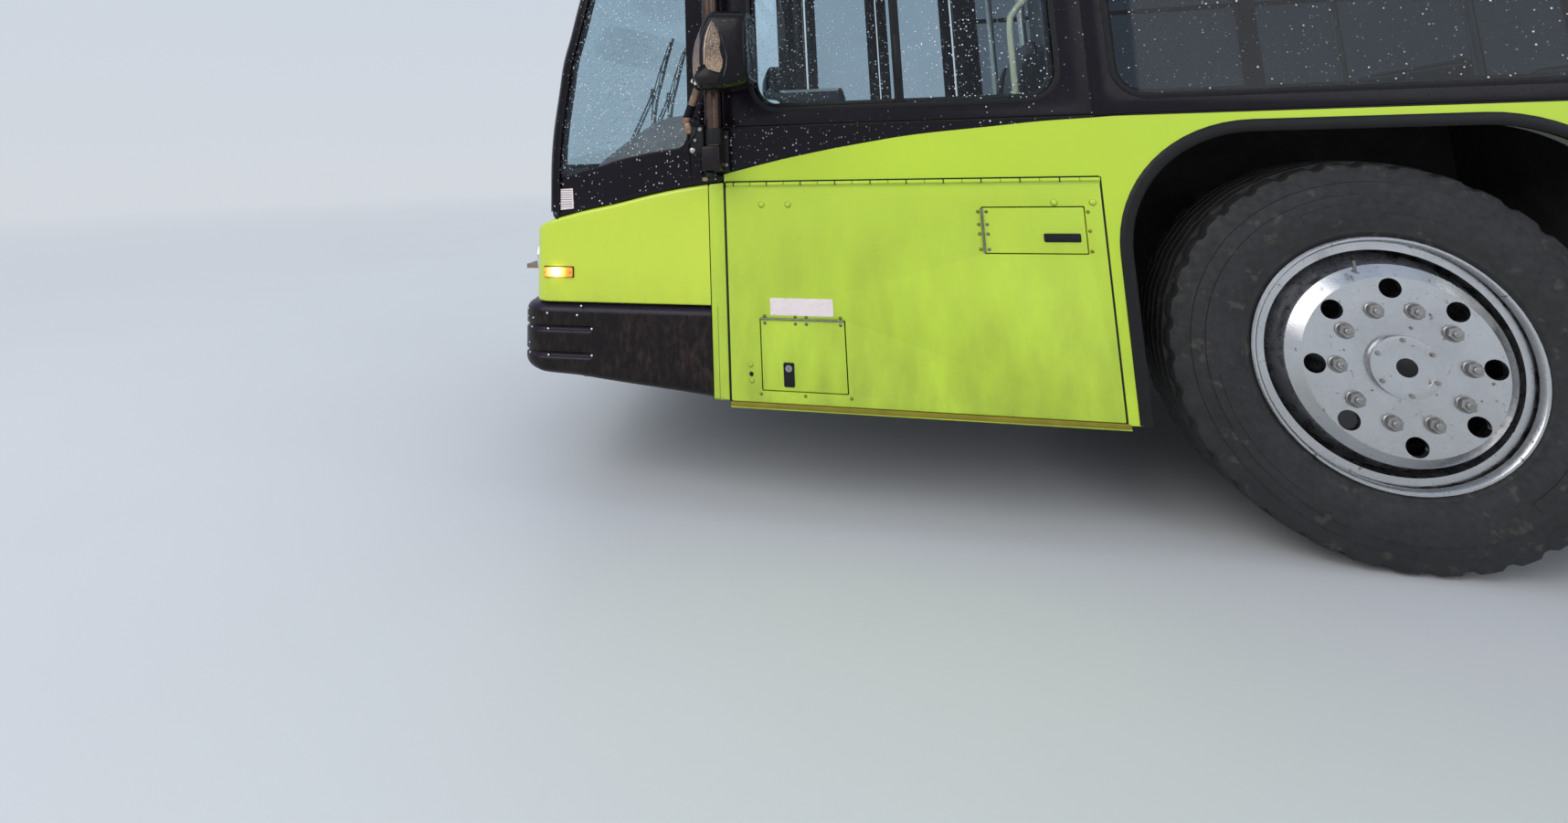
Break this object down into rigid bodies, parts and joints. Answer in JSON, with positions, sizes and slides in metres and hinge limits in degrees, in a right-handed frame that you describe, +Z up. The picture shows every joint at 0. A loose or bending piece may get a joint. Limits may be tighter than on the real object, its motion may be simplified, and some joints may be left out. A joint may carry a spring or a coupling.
{
  "type": "city bus",
  "caption": "Low-floor two-axle city bus with passenger doors on one side, steered front wheels, twin rear wheels, and hinged service panel, engine door, radiator door and roof hatches.",
  "frame": {"origin": "on the ground under the middle of the overall box", "axes": "+X forward, +Y to the driver's side (left), +Z up"},
  "size_m": [12.52, 3.18, 3.0499],
  "materials": {
    "lime_paint": "gloss paint",
    "black_paint": "gloss paint",
    "door_frame": "satin paint",
    "bumper": "moulded satin",
    "glass": "clear",
    "chassis": "satin black",
    "floor_covering": "ribbed sheet",
    "housing": "undercoat",
    "tyre": "treaded",
    "rim": "polished",
    "air_spring": "moulded",
    "grille": "satin",
    "hatch": "moulded",
    "seat_fabric": "woven",
    "dash_plastic": "grained",
    "stainless": "brushed",
    "black_plastic": "satin",
    "lamp": "clear lens"
  },
  "bodies": {
    "body": {"air_springs": "air_spring", "corner_posts": "black_paint", "dashboard": "dash_plastic", "driver_seat": "seat_fabric", "engine_block": "chassis", "farebox": "stainless", "floor": "floor_covering", "front_axle": "chassis", "front_bumper": "bumper", "front_cap": "lime_paint", "front_surround": "black_paint", "grab_rails": "stainless", "lamps": "lamp", "left_side": "lime_paint", "left_window_frame": "black_paint", "mirrors": "black_plastic", "passenger_seats": "seat_fabric", "rack_brackets": "stainless", "rear_axle": "chassis", "rear_bumper": "bumper", "rear_frame": "chassis", "rear_grille": "grille", "rear_wall": "lime_paint", "right_side": "lime_paint", "right_window_frame": "black_paint", "roof": "lime_paint", "roof_unit": "lime_paint", "side_glass": "glass", "sign_hood": "black_paint", "underframe": "chassis", "wheel_housings": "housing", "windshield": "glass", "wipers": "black_plastic"},
    "left_knuckle": {"left_knuckle": "chassis"},
    "right_knuckle": {"right_knuckle": "chassis"},
    "track_rod": {"track_rod": "chassis"},
    "front_left_wheel": {"front_left_tyre": "tyre", "front_left_rim": "rim"},
    "front_right_wheel": {"front_right_tyre": "tyre", "front_right_rim": "rim"},
    "rear_left_wheels": {"rear_left_tyre": "tyre", "rear_left_rim": "rim"},
    "rear_right_wheels": {"rear_right_tyre": "tyre", "rear_right_rim": "rim"},
    "steering_wheel": {"steering_wheel": "dash_plastic"},
    "front_door_front": {"front_door_front_leaf": "door_frame", "front_door_front_leaf_glass": "glass"},
    "front_door_rear": {"front_door_rear_leaf": "door_frame", "front_door_rear_leaf_glass": "glass"},
    "rear_door_front": {"rear_door_front_leaf": "door_frame", "rear_door_front_leaf_glass": "glass"},
    "rear_door_rear": {"rear_door_rear_leaf": "door_frame", "rear_door_rear_leaf_glass": "glass"},
    "service_panel": {"service_panel": "lime_paint"},
    "battery_door": {"battery_door": "lime_paint"},
    "access_door": {"access_door": "lime_paint"},
    "engine_door": {"engine_door": "lime_paint"},
    "radiator_door": {"radiator_door": "grille"},
    "front_hatch": {"front_hatch": "hatch"},
    "rear_hatch": {"rear_hatch": "hatch"}
  },
  "joints": [
    {"name": "steer_left", "type": "hinge", "parent": "body", "child": "left_knuckle", "pos_m": [3.72, 0.92, 0.498], "axis": [0, 0, 1], "range_deg": [-40, 40]},
    {"name": "steer_right", "type": "hinge", "parent": "body", "child": "right_knuckle", "pos_m": [3.72, -0.92, 0.498], "axis": [0, 0, 1], "range_deg": [-40, 40]},
    {"name": "track_rod_swing", "type": "hinge", "parent": "left_knuckle", "child": "track_rod", "pos_m": [3.52, 0.92, 0.29], "axis": [0, 0, 1], "range_deg": [-40, 40]},
    {"name": "steering_wheel_turn", "type": "hinge", "parent": "body", "child": "steering_wheel", "pos_m": [5.11, 0.72, 1.185], "axis": [-0.4226, 0, 0.9063], "range_deg": [-480, 480]},
    {"name": "front_left_spin", "type": "hinge", "parent": "left_knuckle", "child": "front_left_wheel", "pos_m": [3.72, 1.11, 0.498], "axis": [0, 1, 0], "continuous": true},
    {"name": "front_right_spin", "type": "hinge", "parent": "right_knuckle", "child": "front_right_wheel", "pos_m": [3.72, -1.11, 0.498], "axis": [0, 1, 0], "continuous": true},
    {"name": "rear_left_spin", "type": "hinge", "parent": "body", "child": "rear_left_wheels", "pos_m": [-3.37, 0.94, 0.498], "axis": [0, 1, 0], "continuous": true},
    {"name": "rear_right_spin", "type": "hinge", "parent": "body", "child": "rear_right_wheels", "pos_m": [-3.37, -0.94, 0.498], "axis": [0, 1, 0], "continuous": true},
    {"name": "front_door_open", "type": "hinge", "parent": "body", "child": "front_door_front", "pos_m": [5.318, -1.2725, 1.286], "axis": [0, 0, 1], "range_deg": [0, 90]},
    {"name": "front_door_rear_open", "type": "hinge", "parent": "body", "child": "front_door_rear", "pos_m": [4.432, -1.2725, 1.286], "axis": [0, 0, -1], "range_deg": [0, 90]},
    {"name": "rear_door_open", "type": "hinge", "parent": "body", "child": "rear_door_front", "pos_m": [-1.192, -1.2725, 1.286], "axis": [0, 0, 1], "range_deg": [0, 90]},
    {"name": "rear_door_rear_open", "type": "hinge", "parent": "body", "child": "rear_door_rear", "pos_m": [-2.078, -1.2725, 1.286], "axis": [0, 0, -1], "range_deg": [0, 90]},
    {"name": "service_panel_lift", "type": "hinge", "parent": "body", "child": "service_panel", "pos_m": [4.8735, 1.3006, 0.9605], "axis": [1, 0, 0], "range_deg": [0, 90]},
    {"name": "battery_door_lift", "type": "hinge", "parent": "service_panel", "child": "battery_door", "pos_m": [5.18, 1.2985, 0.569], "axis": [1, 0, 0], "range_deg": [0, 95]},
    {"name": "access_door_swing", "type": "hinge", "parent": "service_panel", "child": "access_door", "pos_m": [4.662, 1.2985, 0.8235], "axis": [0, 0, -1], "range_deg": [0, 95]},
    {"name": "engine_door_lift", "type": "hinge", "parent": "body", "child": "engine_door", "pos_m": [-6.176, 0, 1.408], "axis": [0, 1, 0], "range_deg": [0, 85]},
    {"name": "radiator_door_swing", "type": "hinge", "parent": "body", "child": "radiator_door", "pos_m": [-4.608, 1.2725, 0.775], "axis": [0, 0, -1], "range_deg": [0, 100]},
    {"name": "front_hatch_lift", "type": "hinge", "parent": "body", "child": "front_hatch", "pos_m": [2.4, 0, 2.938], "axis": [0, 1, 0], "range_deg": [0, 60]},
    {"name": "rear_hatch_lift", "type": "hinge", "parent": "body", "child": "rear_hatch", "pos_m": [-2.6, 0, 2.938], "axis": [0, 1, 0], "range_deg": [0, 60]}
  ],
  "couplings": [
    {"joint": "steer_right", "follows": "steer_left", "ratio": 1},
    {"joint": "track_rod_swing", "follows": "steer_left", "ratio": -1},
    {"joint": "steering_wheel_turn", "follows": "steer_left", "ratio": 12},
    {"joint": "front_door_rear_open", "follows": "front_door_open", "ratio": 1},
    {"joint": "rear_door_rear_open", "follows": "rear_door_open", "ratio": 1}
  ]
}
